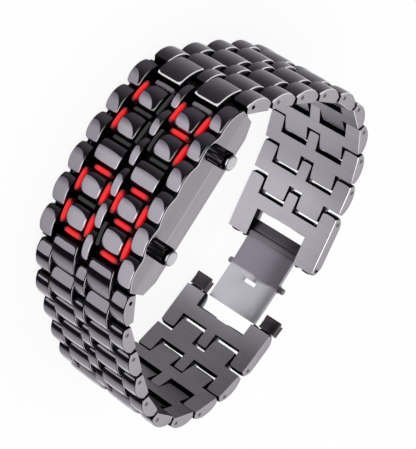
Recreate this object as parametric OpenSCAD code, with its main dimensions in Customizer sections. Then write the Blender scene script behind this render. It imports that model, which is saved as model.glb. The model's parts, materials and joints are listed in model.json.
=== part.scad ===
// Light-strip bracelet watch, lying on the far edge of its band.
// X runs along the head towards 12 o'clock, Y out through the face,
// Z across the band towards the push buttons. Millimetres.

/* [Band] */
// Width of the band, edge to edge
band_width = 24; // [21:0.5:30]
// Width of each edge column of the brick pattern
edge_column = 4; // [3.6:0.1:4.6]
// Width of the centre column of the brick pattern
centre_column = 3.1; // [2.8:0.1:4]
// Distance from one hinge pin to the next
link_pitch = 7.6; // [7:0.1:8.5]
// Thickness of a link on the wrist side of its pins
link_inner = 1.35; // [1.3:0.05:1.7]
// Thickness of a link on the outer side of its pins
link_outer = 1.7; // [1.5:0.05:2.1]
// Radius of the domed outer face of a link
dome_radius = 5.3; // [4.8:0.1:7]
// Gap between the end faces of neighbouring links
link_gap = 0.4; // [0.3:0.05:0.6]
// Gap between the columns of the brick pattern
column_gap = 0.35; // [0.25:0.05:0.6]
// Lean of the end faces below the pins, which lets the band curl
end_draft = 15; // [12:1:18]
// Thickness of the Z-shaped plate along the wrist side of a link
back_plate = 0.7; // [0.5:0.05:1]
// Diameter of the hinge pins
pin_d = 1.1; // [0.8:0.05:1.3]
// Depth of each pin end below the edge of the band
pin_recess = 0.3; // [0.1:0.05:0.6]
// Slope of the head's end lugs
lug_slope = 40; // [36:1:44]

/* [Head] */
// How far each side wall stands proud of the band
overhang = 0.35; // [0.1:0.05:0.6]
// Radius of the arch on which the lights lie
arch_radius = 52; // [46:1:60]
// Distance from one row of face blocks to the next
row_pitch = 6.6; // [6.2:0.1:7]
// Height of the crown of the arch above the middle of the side walls
arch_lift = 4.15; // [3.8:0.05:4.5]
// Depth of the case below the middle of the side walls
case_depth = 5.15; // [4.9:0.05:6]
// Half length of the straight lower edge of the side walls
case_foot = 15.6; // [15.2:0.1:16]
// Distance from the last gap of the arch to the first hinge pin
lug_reach = 6.3; // [6.1:0.05:7]
// Radius of the dome of the lug blocks
lug_dome = 8; // [6:0.5:12]
// Thickness of the scalloped plate on each side
plate_thickness = 1; // [0.8:0.05:1.3]
// Height of the face blocks above the light line
block_rise = 1.4; // [1.2:0.05:1.8]
// Height of the scallops of the side walls above the light line
scallop_rise = 1.4; // [1.1:0.05:1.7]
// Height of the notches between the scallops above the light line
notch_rise = 0.5; // [0.3:0.05:0.8]
// Radius of the dome of a face block along the head
block_dome = 4.6; // [4:0.1:6]
// Radius of the dome of a digit block across the head
block_pillow = 3.6; // [3:0.1:6]
// Gap between a digit block and the upright lights beside it
block_inset = 0.35; // [0.2:0.05:0.5]
// Half length of the chamber under the lights
chamber_half = 16.9; // [16.7:0.05:17.2]
// Thickness of the end walls of the case
end_wall = 1.4; // [1.1:0.1:1.6]

/* [Lights] */
// Width of a light guide across its strip
guide_width = 1.1; // [0.8:0.05:1.3]
// Width of the gap between two face blocks that a light guide crosses
row_gap = 2; // [1.4:0.05:2.4]
// Length of an upright light guide along the head
upright_length = 4.6; // [4:0.1:5.4]
// Clearance round each light guide
guide_fit = 0.08; // [0.04:0.01:0.15]
// Thickness of the plate that carries the face blocks
deck = 0.9; // [0.7:0.05:1.1]
// Thickness of the circuit board
board = 0.5; // [0.4:0.05:0.8]
// Diameter of each button cell
cell_d = 20; // [18:0.1:20.5]
// Thickness of each button cell
cell_height = 1.6; // [1.2:0.05:1.6]
// Thickness of the case back
back_thickness = 0.6; // [0.5:0.05:0.9]
// Diameter of the case back screws
screw_d = 1.2; // [1:0.05:1.6]

/* [Push buttons] */
// Distance of each push button from the middle of the head
button_offset = 10.1; // [9.6:0.1:10.6]
// Outer diameter of the ribbed collar
collar_d = 3.6; // [3.2:0.1:4]
// Height of the ribbed collar above the side wall
collar_height = 3.75; // [3:0.05:4.2]
// Diameter of the push button cap
cap_d = 3; // [2.6:0.1:3.2]
// Length of a push button above its collar
cap_height = 1.2; // [1.1:0.05:1.8]
// Travel of a push button
button_travel = 0.6; // [0.4:0.05:0.6]
// Diameter of the push button neck
neck_d = 2.4; // [2:0.1:2.5]
// Diameter of the push button stem
stem_d = 1.4; // [1.1:0.05:1.5]

/* [Clasp] */
// Width of the blade
blade_width = 13; // [11:0.5:14]
// Thickness of the blade
blade_thickness = 1; // [0.9:0.05:1.2]
// Length of the tail of the blade behind its pin
blade_tail = 3; // [2.4:0.1:3.2]
// Bend of the blade at its lock pin
blade_bend = 5; // [0:1:8]
// Length of the crossbar of each clasp frame
crossbar = 3.8; // [3.2:0.1:4.2]
// Length of the legs of the 12 o'clock frame beyond its crossbar
long_leg = 6.4; // [6:0.1:7]
// Length of the legs of the 6 o'clock frame beyond its crossbar
short_leg = 3.1; // [2.8:0.1:4]
// Side clearance between blade and legs
blade_side = 0.2; // [0.15:0.05:0.5]
// Gap between the tip of the blade and the 6 o'clock crossbar
tip_gap = 3.2; // [2.8:0.1:4]
// Diameter of the lock pin
lock_d = 1.4; // [1.2:0.1:1.6]
// Distance of the lock pin from the blade's hinge pin
lock_reach = 7.6; // [6.8:0.1:8.4]
// Length of each release button along the band
release_length = 3.1; // [2.6:0.1:3.6]
// Depth of each release button across the band
release_depth = 3.9; // [3.4:0.1:4.2]
// Inward travel of each release button
release_travel = 0.6; // [0.4:0.05:0.8]

/* [Fits] */
// Radial clearance of turning and sliding fits
running_fit = 0.05; // [0.02:0.01:0.08]
// Radial clearance of pins held fast
seat_fit = 0.01; // [0.01:0.005:0.02]
// Gap between neighbouring fixed pieces inside the case
inner_gap = 0.08; // [0.05:0.01:0.15]

/* [Hidden] */
link_names_12 = ["link_12h_1", "link_12h_2", "link_12h_3", "link_12h_4", "link_12h_5",
  "link_12h_6", "link_12h_7", "link_12h_8", "link_12h_9"];
link_names_6 = ["link_6h_1", "link_6h_2", "link_6h_3", "link_6h_4", "link_6h_5",
  "link_6h_6", "link_6h_7", "link_6h_8", "link_6h_9"];
pin_names_12 = ["pin_12h_1", "pin_12h_2", "pin_12h_3", "pin_12h_4", "pin_12h_5",
  "pin_12h_6", "pin_12h_7", "pin_12h_8", "pin_12h_9", "pin_12h_10"];
pin_names_6 = ["pin_6h_1", "pin_6h_2", "pin_6h_3", "pin_6h_4", "pin_6h_5",
  "pin_6h_6", "pin_6h_7", "pin_6h_8", "pin_6h_9", "pin_6h_10"];
$fn = 48;
fine = 96;
finest = 192;

// Bend of the band at each hinge as it stands, from the head outwards
bends_12 = [21, 0.5, 4, 7, 16, 22.5, 20, 16.5, 14.5, 2.5];
bends_6 = [1.5, 19.5, 0, 1.5, 10.5, 22, 22, 19.5, 21, 13.5];

// Columns of the brick pattern, from the far edge to the near edge
case_width = band_width + 2 * overhang;
far_z = overhang;
near_z = overhang + band_width;
mid_z = case_width / 2;
wide_column = (band_width - 2 * edge_column - centre_column) / 2;
bounds = [far_z, far_z + edge_column, mid_z - centre_column / 2, mid_z + centre_column / 2,
  near_z - edge_column, near_z];
narrow_columns = [0, 2, 4];
wide_columns = [1, 3];

// Places along the band: each link turns on its own pin, a quarter pitch from its narrow end
quarter = link_pitch / 4;
narrow_from = link_gap / 2 - quarter;
narrow_to = 3 * quarter - link_gap / 2;
wide_from = quarter + link_gap / 2;
wide_to = 5 * quarter - link_gap / 2;

// The arch of the head
arch_y = arch_lift - arch_radius;
row_angle = row_pitch / arch_radius * 180 / PI;
lug_angle = 2.5 * row_angle;
pin_line = arch_radius + 0.5;
first_pin = [pin_line * sin(lug_angle) + lug_reach * cos(lug_slope),
  arch_y + pin_line * cos(lug_angle) - lug_reach * sin(lug_slope)];
lug_from = wide_from - link_pitch + 0.3;
shoulder = first_pin[0] - link_outer - 0.15;
core_radius = arch_radius - 0.7;
deck_top = arch_radius - 0.9;
deck_low = deck_top - deck;
mask_top = deck_low - inner_gap;
guide_low = deck_low + 0.15;

function heading(bends, i) = i < 0 ? lug_slope : heading(bends, i - 1) + bends[i];
function along(slope) = [cos(slope), -sin(slope)];
function hinge(bends, i) =
  i == 0 ? first_pin : hinge(bends, i - 1) + link_pitch * along(heading(bends, i - 1));

// Levels inside the case, measured along Y
back_y = -case_depth;
cells_y = back_y + back_thickness + inner_gap;
cells_top = cells_y + 2 * cell_height;
board_y = cells_top + inner_gap;
board_top = board_y + board;
mask_y = board_top + inner_gap;
chip_height = 0.25;
wall = far_z + edge_column - guide_width / 2 - 0.15;
inside_from = wall + inner_gap;
inside_to = case_width - inside_from;
inside_half = chamber_half - 0.7;
back_half = case_foot - 1.6;
back_trim = 0.3;
back_width = cell_d - back_trim;

// Levels of the push buttons, measured along Z
button_y = arch_lift - 1.65;
collar_top = case_width + collar_height;
switch_pocket = 1.3;
pocket_z = case_width - wall + switch_pocket;
shank_r = neck_d / 2 + 0.2;
chamber_z = pocket_z + 0.7;
neck_z = collar_top - button_travel - 1.7;
head_z = collar_top + button_travel + 0.05;
keeper_z = pocket_z - 0.3;

// The clasp, measured from the last pin of each side
frame_column = (band_width - blade_width) / 2 - blade_side;
crossbar_to = wide_from + crossbar;
leg_12 = crossbar_to + long_leg;
leg_6 = crossbar_to + short_leg;
blade_pin = leg_12 - 1.3;
blade_knuckle = pin_d / 2 + 0.5;
blade_sink = 0.2;
last_12 = hinge(bends_12, 9);
last_6 = hinge(bends_6, 9);
slope_12 = heading(bends_12, 9);
slope_6 = heading(bends_6, 9);
blade_at = last_12 + blade_pin * along(slope_12);
tip_u = crossbar_to + tip_gap;
tip_w = 0.6;
tip_at = [-(last_6[0] + tip_u * cos(slope_6) + tip_w * sin(slope_6)),
  last_6[1] - tip_u * sin(slope_6) + tip_w * cos(slope_6)];
blade_span = norm(tip_at - blade_at);
blade_front = sqrt(pow(blade_span, 2) - pow(lock_reach * sin(blade_bend), 2))
  - lock_reach * cos(blade_bend);
blade_turn = atan2(tip_at[1] - blade_at[1], tip_at[0] - blade_at[0])
  + atan2(blade_front * sin(blade_bend), lock_reach + blade_front * cos(blade_bend));
lock_y = 0.35;
blade_low = mid_z - blade_width / 2;

// The release buttons and their pockets
release_from = leg_6 + 0.15;
release_to = release_from + release_length;
tongue_long = 2;
tongue_half = 0.45;
tongue_head = 0.8;
tongue_low = near_z - 3.1;
tongue_high = near_z - 0.7;
pocket_low = near_z - 4.5;

STEEL = [0.2, 0.19, 0.21];
DARK = [0.08, 0.08, 0.09];
PIN = [0.45, 0.45, 0.47];

// A block between two end faces that are upright above the pins and lean in below them
module body_outline(from, to, inner, outer, lean) {
  shift = inner * tan(lean);
  polygon([[from + shift, -inner], [to - shift, -inner], [to, 0], [to, outer], [from, outer], [from, 0]]);
}

// Profile of a domed block, from one end face to the other
module dome_outline(from, to, inner, outer, radius, lean) {
  intersection() {
    body_outline(from, to, inner, outer, lean);
    translate([(from + to) / 2, outer - radius])
      circle(radius, $fn = fine);
  }
}

// Profile of a long piece with rounded outer corners
module long_outline(from, to, inner, outer, lean) {
  corner = inner + outer - 0.5;
  intersection() {
    body_outline(from, to, inner, outer, lean);
    union() {
      translate([from + corner * 0.8, -inner])
        square([to - from - corner * 1.6, inner + outer]);
      for (x = [from + corner, to - corner])
        translate([x, outer - corner])
          circle(corner, $fn = fine);
      translate([from, -inner])
        square([to - from, 0.5]);
    }
  }
}

// One column of a piece of the band
module column(index) {
  low = bounds[index] + (index == 0 ? 0 : column_gap / 2);
  high = bounds[index + 1] - (index == 4 ? 0 : column_gap / 2);
  translate([0, 0, low])
    linear_extrude(high - low)
      children();
}

// Moves a piece from its place along the band into the standing loop
module stand_12(i) {
  place = hinge(bends_12, i);
  translate([place[0], place[1], 0])
    rotate([0, 0, -heading(bends_12, i)])
      children();
}

module stand_6(i) {
  place = hinge(bends_6, i);
  mirror([1, 0, 0])
    translate([place[0], place[1], 0])
      rotate([0, 0, -heading(bends_6, i)])
        children();
}

// Bore across the whole band
module cross_bore(x, radius) {
  translate([x, 0, -1])
    cylinder(r = radius, h = case_width + 2);
}

// The plate along the wrist side of a link, which joins its columns
module link_back(join_from, join_to) {
  translate([join_from, -link_inner, far_z + column_gap])
    cube([join_to - join_from, back_plate, band_width - 2 * column_gap]);
  translate([join_from, -link_inner, far_z + edge_column / 2])
    cube([join_to - join_from, link_inner + 0.4, band_width - edge_column]);
}

module link_solid() {
  difference() {
    union() {
      for (c = narrow_columns)
        column(c)
          dome_outline(narrow_from, narrow_to, link_inner, link_outer, dome_radius, end_draft);
      for (c = wide_columns)
        column(c)
          dome_outline(wide_from, wide_to, link_inner, link_outer, dome_radius, end_draft);
      link_back(wide_from + link_gap, narrow_to - link_gap);
    }
    cross_bore(0, pin_d / 2 + seat_fit);
    cross_bore(link_pitch, pin_d / 2 + running_fit);
  }
}

module hinge_pin(x = 0) {
  slot = pin_d / 4;
  long = band_width - 2 * pin_recess;
  translate([x, 0, far_z + pin_recess])
    difference() {
      cylinder(d = pin_d, h = long);
      translate([-slot / 2, -pin_d, long - pin_d / 2])
        cube([slot, 2 * pin_d, pin_d]);
    }
}

// Places on the arch of the head: rows from the crown and radius from the arch centre
module on_arch(rows, radius = 0) {
  translate([0, arch_y, 0])
    rotate([0, 0, -rows * row_angle])
      translate([0, radius, 0])
        children();
}

// Outline of the case seen from its side
module side_outline(radius) {
  intersection() {
    polygon([[-case_foot, back_y], [case_foot, back_y], [shoulder - 0.5, back_y + 1.4],
      [shoulder + 0.2, first_pin[1] + 3], [shoulder, arch_lift], [-shoulder, arch_lift],
      [-shoulder - 0.2, first_pin[1] + 3], [-shoulder + 0.5, back_y + 1.4]]);
    translate([0, arch_y])
      circle(radius, $fn = finest);
  }
}

// Scalloped top edge of a side plate
module scallops() {
  depth = scallop_rise - notch_rise;
  radius = (pow(row_pitch / 2, 2) + pow(depth, 2)) / (2 * depth);
  for (row = [-2.5:1:2.5])
    on_arch(row, arch_radius + scallop_rise)
      intersection() {
        translate([0, -radius])
          circle(radius, $fn = fine);
        translate([-row_pitch / 2 + 0.02, -3])
          square([row_pitch - 0.04, 3]);
      }
}

// Half-round blocks of the edge columns on the head, between side plate and lights
module edge_blocks() {
  long = row_pitch - 1.1;
  for (low = [plate_thickness + 0.35, case_width - wall + 0.1])
    for (row = [-2.5:1:2.5])
      on_arch(row, arch_radius)
        translate([0, 0, low])
          linear_extrude(wall - plate_thickness - 0.45)
            dome_outline(-long / 2, long / 2, 1.2, block_rise, block_dome, 0);
}

// The wide lug block at the end of the head, which carries the first pin
module lug(index) {
  column(index)
    dome_outline(lug_from, wide_to - link_pitch, link_inner, link_outer, lug_dome, end_draft);
}

module lug_place() {
  translate([first_pin[0], first_pin[1], 0])
    rotate([0, 0, -lug_slope])
      children();
}

module both_ends() {
  children();
  mirror([1, 0, 0])
    children();
}

module screw_places() {
  for (x = [-1, 1])
    for (z = [-1, 1])
      translate([x * (back_half - 1.6), 0, mid_z + z * (back_width / 2 - 1.6)])
        children();
}

// Room for the board, the mask and the deck of the face
module chamber() {
  translate([0, 0, wall])
    linear_extrude(case_width - 2 * wall)
      intersection() {
        translate([0, arch_y])
          circle(deck_top + inner_gap, $fn = finest);
        translate([-chamber_half, board_y - inner_gap])
          square([2 * chamber_half, arch_lift + case_depth]);
      }
}

module case() {
  color(STEEL)
    difference() {
      union() {
        difference() {
          translate([0, 0, plate_thickness])
            linear_extrude(case_width - 2 * plate_thickness)
              side_outline(core_radius);
          translate([-chamber_half, board_y - inner_gap, wall])
            cube([2 * chamber_half, arch_lift + case_depth, case_width - 2 * wall]);
          both_ends()
            translate([chamber_half + end_wall, back_y - 1, wall])
              cube([end_wall + 5, arch_lift + case_depth + 2, case_width - 2 * wall]);
        }
        for (z = [0, case_width - plate_thickness])
          translate([0, 0, z])
            linear_extrude(plate_thickness)
              union() {
                side_outline(arch_radius + notch_rise);
                scallops();
              }
        edge_blocks();
        both_ends()
          for (c = wide_columns)
            lug_place()
              lug(c);
      }
      chamber();
      translate([0, back_y - 1, mid_z])
        rotate([-90, 0, 0])
          cylinder(d = cell_d + 0.4, h = cells_top - back_y + 1 + inner_gap + 0.01, $fn = fine);
      translate([-back_half - inner_gap, back_y - 1, mid_z - back_width / 2 - inner_gap])
        cube([2 * (back_half + inner_gap), back_thickness + 1 + inner_gap, back_width + 2 * inner_gap]);
      both_ends()
        lug_place()
          translate([0, 0, wall])
            cylinder(r = pin_d / 2 + running_fit, h = case_width - 2 * wall);
      for (x = [-button_offset, button_offset]) {
        translate([x, button_y, pocket_z - 1])
          cylinder(r = shank_r + seat_fit, h = wall + 2);
        translate([x - 1.6, board_y - inner_gap, pocket_z - switch_pocket - 0.1])
          cube([3.2, button_y + 1.15 - board_y, switch_pocket + 0.1]);
      }
      screw_places()
        rotate([-90, 0, 0])
          translate([0, 0, back_y - 1])
            cylinder(r = screw_d / 2 + seat_fit, h = back_thickness + 3.2);
    }
}

module face_block(row, index) {
  digit = row != 0;
  side = digit ? guide_width / 2 + guide_fit + block_inset : column_gap / 2;
  width = wide_column - 2 * side;
  long = row_pitch - row_gap;
  on_arch(row, arch_radius)
    translate([0, 0, (bounds[index] + bounds[index + 1]) / 2])
      intersection() {
        translate([0, 0, -width / 2])
          linear_extrude(width)
            dome_outline(-long / 2, long / 2, 1.2, block_rise, block_dome, 0);
        if (digit)
          translate([-long, block_rise - block_pillow, 0])
            rotate([0, 90, 0])
              cylinder(r = block_pillow, h = 2 * long, $fn = fine);
      }
}

module centre_block(row) {
  width = centre_column - guide_width - 2 * guide_fit;
  long = row_pitch - 0.9;
  on_arch(row, arch_radius)
    translate([0, 0, mid_z - width / 2])
      linear_extrude(width)
        dome_outline(-long / 2, long / 2, 1.2, block_rise - 0.2, dome_radius, 0);
}

module face_grille() {
  color(STEEL)
    difference() {
      union() {
        translate([0, 0, inside_from])
          linear_extrude(inside_to - inside_from)
            intersection() {
              translate([0, arch_y])
                difference() {
                  circle(deck_top, $fn = finest);
                  circle(deck_low, $fn = finest);
                }
              translate([-chamber_half + inner_gap, first_pin[1]])
                square([2 * (chamber_half - inner_gap), arch_lift - first_pin[1]]);
            }
        for (row = [-2:2])
          for (c = wide_columns)
            face_block(row, c);
        for (row = [-2.5:1:2.5])
          centre_block(row);
      }
      all_digits(guide_fit);
      both_ends()
        translate([0, 0, wall])
          linear_extrude(case_width - 2 * wall)
            intersection() {
              translate([0, arch_y])
                circle(core_radius + inner_gap, $fn = finest);
              translate([chamber_half - inner_gap, first_pin[1]])
                square([5, 5]);
            }
    }
}

// One light guide, grown by the clearance when it cuts its own opening
module guide(row, z, long, wide, rise, grow) {
  deep = grow > 0 ? 6 : 0;
  on_arch(row, guide_low - deep)
    translate([-long / 2 - grow, 0, z - wide / 2 - grow])
      cube([long + 2 * grow, arch_radius + rise - guide_low + deep, wide + 2 * grow]);
}

// The seven light guides of a digit: an 8 laid out on the arch
module digit(row, index, grow) {
  far = bounds[index];
  near = bounds[index + 1];
  flat = near - far - guide_width - 2 * block_inset;
  for (step = [-1:1])
    guide(row + step, (far + near) / 2, guide_width - 0.2, flat, -0.1, grow);
  for (step = [-0.5, 0.5])
    for (z = [far, near])
      guide(row + step, z, upright_length, guide_width, 0.4, grow);
}

module all_digits(grow) {
  for (row = [-1.5, 1.5])
    for (c = wide_columns)
      digit(row, c, grow);
}

module light_guides() {
  color([0.9, 0.1, 0.12])
    all_digits(0);
}

module light_mask() {
  color(DARK)
    difference() {
      translate([0, 0, inside_from])
        linear_extrude(inside_to - inside_from)
          intersection() {
            translate([0, arch_y])
              circle(mask_top, $fn = finest);
            translate([-inside_half, mask_y])
              square([2 * inside_half, arch_lift - mask_y]);
          }
      all_digits(guide_fit);
    }
}

// Chip under a light guide
module chip(row, z) {
  translate([(board_top - arch_y) * tan(row * row_angle) - 0.3, board_top - 0.01, z - 0.3])
    cube([0.6, chip_height, 0.6]);
}

module circuit_board() {
  color([0.1, 0.3, 0.15]) {
    translate([-inside_half, board_y, inside_from])
      cube([2 * inside_half, board, inside_to - inside_from]);
    for (row = [-1.5, 1.5])
      for (c = wide_columns) {
        for (step = [-1:1])
          chip(row + step, (bounds[c] + bounds[c + 1]) / 2);
        for (step = [-0.5, 0.5])
          for (z = [bounds[c] + 0.1, bounds[c + 1] - 0.1])
            chip(row + step, z);
      }
    for (x = [-button_offset, button_offset]) {
      translate([x - 1.4, board_y, inside_to - 0.1])
        cube([2.8, board, inner_gap + 0.55]);
      translate([x - 1, board_y + 0.1, pocket_z - switch_pocket + 0.15])
        cube([2, button_y + 0.9 - board_y - 0.1, 0.2]);
    }
  }
}

module button_cells() {
  color([0.75, 0.75, 0.77])
    for (i = [0, 1])
      translate([0, cells_y + i * cell_height + 0.02, mid_z])
        rotate([-90, 0, 0])
          cylinder(d = cell_d, h = cell_height - 0.04, $fn = fine);
}

module case_back() {
  color(STEEL)
    difference() {
      translate([-back_half, back_y, mid_z - back_width / 2])
        cube([2 * back_half, back_thickness, back_width]);
      screw_places()
        rotate([-90, 0, 0])
          translate([0, 0, back_y - 1])
            cylinder(r = screw_d / 2 + running_fit, h = back_thickness + 2);
      translate([0, back_y, mid_z])
        rotate([-90, 0, 0])
          difference() {
            cylinder(d = cell_d, h = 0.3, center = true, $fn = fine);
            cylinder(d = cell_d - 0.6, h = 1, center = true, $fn = fine);
          }
    }
}

module back_screws() {
  color([0.5, 0.5, 0.52])
    screw_places()
      difference() {
        rotate([-90, 0, 0])
          translate([0, 0, back_y])
            cylinder(d = screw_d, h = back_thickness + 2);
        translate([-screw_d, back_y - 1, -0.1])
          cube([2 * screw_d, 1.25, 0.2]);
      }
}

module button_collars() {
  ribs = 20;
  color(DARK)
    for (x = [-button_offset, button_offset])
      translate([x, button_y, 0])
        difference() {
          union() {
            translate([0, 0, pocket_z])
              cylinder(r = shank_r, h = collar_top - pocket_z - 1);
            translate([0, 0, case_width + 0.02])
              cylinder(d = collar_d, h = collar_height - 0.02);
          }
          translate([0, 0, pocket_z - 1])
            cylinder(r = stem_d / 2 + running_fit, h = 3);
          translate([0, 0, chamber_z])
            cylinder(r = neck_d / 2 + running_fit, h = collar_top - chamber_z + 1);
          translate([0, 0, collar_top - 0.7])
            cylinder(r = collar_d / 2 - 0.3, h = 1);
          for (i = [0:ribs - 1])
            rotate([0, 0, i * 360 / ribs])
              translate([collar_d / 2 + 0.08, 0, case_width + 0.5])
                cylinder(r = 0.18, h = collar_height - 1.2, $fn = 16);
        }
}

module push_button(side) {
  color([0.8, 0.8, 0.82])
    translate([side * button_offset, button_y, 0]) {
      intersection() {
        translate([0, 0, head_z])
          cylinder(d = cap_d, h = collar_top + cap_height - head_z);
        translate([0, 0, collar_top + cap_height - 2 * cap_d])
          sphere(2 * cap_d, $fn = finest);
      }
      translate([0, 0, neck_z])
        cylinder(d = neck_d, h = head_z - neck_z + 0.1);
      translate([0, 0, keeper_z])
        cylinder(d = stem_d, h = neck_z - keeper_z + 0.1);
      translate([0, 0, keeper_z])
        cylinder(d = stem_d + 0.5, h = 0.25);
    }
}

// Coil spring drawn as a stack of rings on two fine bars
module ring_spring(radius, wire, low, high, turns) {
  step = (high - low - wire) / (turns - 1);
  for (i = [0:turns - 1])
    translate([0, 0, low + wire / 2 + i * step])
      rotate_extrude($fn = $fn)
        translate([radius - wire / 2, 0])
          circle(d = wire, $fn = 16);
  for (side = [-1, 1])
    translate([side * (radius - wire / 2) - wire / 4, -wire / 4, low + wire / 4])
      cube([wire / 2, wire / 2, high - low - wire / 2]);
}

module button_spring(side) {
  color([0.6, 0.6, 0.6])
    translate([side * button_offset, button_y, 0])
      ring_spring(neck_d / 2 - 0.05, 0.3, chamber_z + 0.03, neck_z - 0.03, 5);
}

// End pieces of the band: a crossbar with two legs
module frame_solid(leg_end) {
  for (c = [0, 4])
    column(c)
      long_outline(narrow_from, leg_end, link_inner, link_outer, end_draft);
  column(2)
    dome_outline(narrow_from, narrow_to, link_inner, link_outer, dome_radius, end_draft);
  for (z = [bounds[1] - 0.3, near_z - frame_column])
    translate([0, 0, z])
      linear_extrude(far_z + frame_column - bounds[1] + 0.3)
        long_outline(wide_from, leg_end, link_inner, link_outer, end_draft);
  for (c = wide_columns)
    column(c)
      long_outline(wide_from, crossbar_to, link_inner, link_outer, end_draft);
  translate([wide_from + link_gap, -link_inner, far_z + column_gap])
    cube([crossbar - 2 * link_gap, link_inner + 0.6, band_width - 2 * column_gap]);
}

module clasp_frame_12() {
  color(STEEL)
    stand_12(9)
      difference() {
        frame_solid(leg_12);
        cross_bore(0, pin_d / 2 + seat_fit);
        cross_bore(blade_pin, pin_d / 2 + seat_fit);
      }
}

// The pocket in a leg in which the tongue of a release button slides
module release_pocket() {
  high = tongue_high + 0.05;
  translate([leg_6 - tongue_long + 0.8, -tongue_half - 0.05, pocket_low])
    cube([tongue_long, 2 * tongue_half + 0.1, high - pocket_low]);
  translate([leg_6 - tongue_long - 0.05, -tongue_head - 0.05, pocket_low])
    cube([1, 2 * tongue_head + 0.1, high - pocket_low]);
}

module other_edge() {
  children();
  translate([0, 0, case_width])
    mirror([0, 0, 1])
      children();
}

module clasp_frame_6() {
  color(STEEL)
    stand_6(9)
      difference() {
        frame_solid(leg_6);
        cross_bore(0, pin_d / 2 + seat_fit);
        other_edge()
          release_pocket();
      }
}

module blade_place() {
  translate([blade_at[0], blade_at[1], 0])
    rotate([0, 0, blade_turn])
      children();
}

// From the lock pin on, the blade bends towards the wrist
module blade_front_place() {
  translate([lock_reach, 0, 0])
    rotate([0, 0, -blade_bend])
      children();
}

// The blade seen from its edge: straight to the lock pin, then bent
module blade_outline(low, high) {
  mitre = tan(blade_bend / 2);
  turned = [cos(blade_bend), -sin(blade_bend)];
  upright = [sin(blade_bend), cos(blade_bend)];
  tip = [lock_reach, 0] + blade_front * turned;
  polygon([[-blade_tail, low], [lock_reach + low * mitre, low], tip + low * upright,
    tip + high * upright, [lock_reach + high * mitre, high], [-blade_tail, high]]);
}

module clasp_blade() {
  top = -blade_thickness / 2 - blade_sink;
  color([0.36, 0.34, 0.37])
    blade_place()
      difference() {
        union() {
          translate([0, 0, blade_low])
            cylinder(r = blade_knuckle, h = blade_width);
          translate([0, 0, blade_low])
            linear_extrude(blade_width)
              blade_outline(top, top + blade_thickness);
          translate([lock_reach, lock_y, blade_low])
            cylinder(d = lock_d + 0.6, h = blade_width);
          blade_front_place()
            translate([1.2, top + blade_thickness / 2, mid_z])
              rotate([90, 0, 0])
                cylinder(d = 2.2, h = blade_thickness / 2 + 0.15);
        }
        translate([0, 0, blade_low - 1])
          cylinder(r = pin_d / 2 + running_fit, h = blade_width + 2);
        translate([lock_reach, lock_y, blade_low - 1])
          cylinder(r = lock_d / 2 + seat_fit, h = blade_width + 2);
        blade_front_place()
          translate([1.6, -2, mid_z - 1.7])
            cube([0.9, 4, 3.4]);
      }
}

module clasp_hinge_pin() {
  color(PIN)
    stand_12(9)
      hinge_pin(blade_pin);
}

module clasp_lock_pin() {
  reach = blade_width / 2 + 1.3;
  color([0.7, 0.7, 0.72])
    blade_place()
      translate([lock_reach, lock_y, mid_z - reach])
        cylinder(d = lock_d, h = 2 * reach);
}

// Release button on the near leg, with its tongue in the leg's pocket
module release_button() {
  low = near_z - release_depth;
  ribs = 5;
  step = (release_length - 1.6) / (ribs - 1);
  difference() {
    union() {
      translate([release_from, -0.6, low])
        cube([release_length, link_outer + 0.5, release_depth]);
      translate([leg_6 - tongue_long + 0.8, -tongue_half, tongue_low])
        cube([tongue_long, 2 * tongue_half, tongue_high - tongue_low]);
      translate([leg_6 - tongue_long, -tongue_head, tongue_low])
        cube([0.9, 2 * tongue_head, tongue_high - tongue_low]);
    }
    for (i = [0:ribs - 1])
      translate([release_from + 0.35 + i * step, -1, low - 1])
        cube([0.2, 0.6, release_depth + 2]);
    translate([release_to, link_outer - 0.75, low - 1])
      cylinder(r = 0.75, h = release_depth + 2);
  }
}

module release_button_near() {
  color(DARK)
    stand_6(9)
      release_button();
}

module release_button_far() {
  color(DARK)
    stand_6(9)
      translate([0, 0, case_width])
        mirror([0, 0, 1])
          release_button();
}

module release_spring() {
  translate([leg_6 - tongue_long + 0.45, 0, 0])
    ring_spring(0.45, 0.16, pocket_low + 0.02, tongue_low - 0.02, 5);
}

module release_spring_near() {
  color([0.6, 0.6, 0.6])
    stand_6(9)
      release_spring();
}

module release_spring_far() {
  color([0.6, 0.6, 0.6])
    stand_6(9)
      translate([0, 0, case_width])
        mirror([0, 0, 1])
          release_spring();
}

module link_12(i) {
  color(STEEL)
    stand_12(i)
      link_solid();
}

module link_6(i) {
  color(STEEL)
    stand_6(i)
      link_solid();
}

module pin_12(i) {
  color(PIN)
    stand_12(i)
      hinge_pin();
}

module pin_6(i) {
  color(PIN)
    stand_6(i)
      hinge_pin();
}

case();
face_grille();
light_mask();
light_guides();
circuit_board();
button_cells();
case_back();
back_screws();
button_collars();
button_spring(1);  // button_spring_12
button_spring(-1);  // button_spring_6
push_button(1);  // push_button_12
push_button(-1);  // push_button_6
for (i = [0:8]) {
  link_12(i);
  link_6(i);
}
for (i = [0:9]) {
  pin_12(i);
  pin_6(i);
}
clasp_frame_12();
clasp_frame_6();
clasp_blade();
clasp_hinge_pin();
clasp_lock_pin();
release_button_near();
release_button_far();
release_spring_near();
release_spring_far();
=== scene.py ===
import json
import math

import bmesh
import bpy
from mathutils import Matrix, Vector


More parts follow.
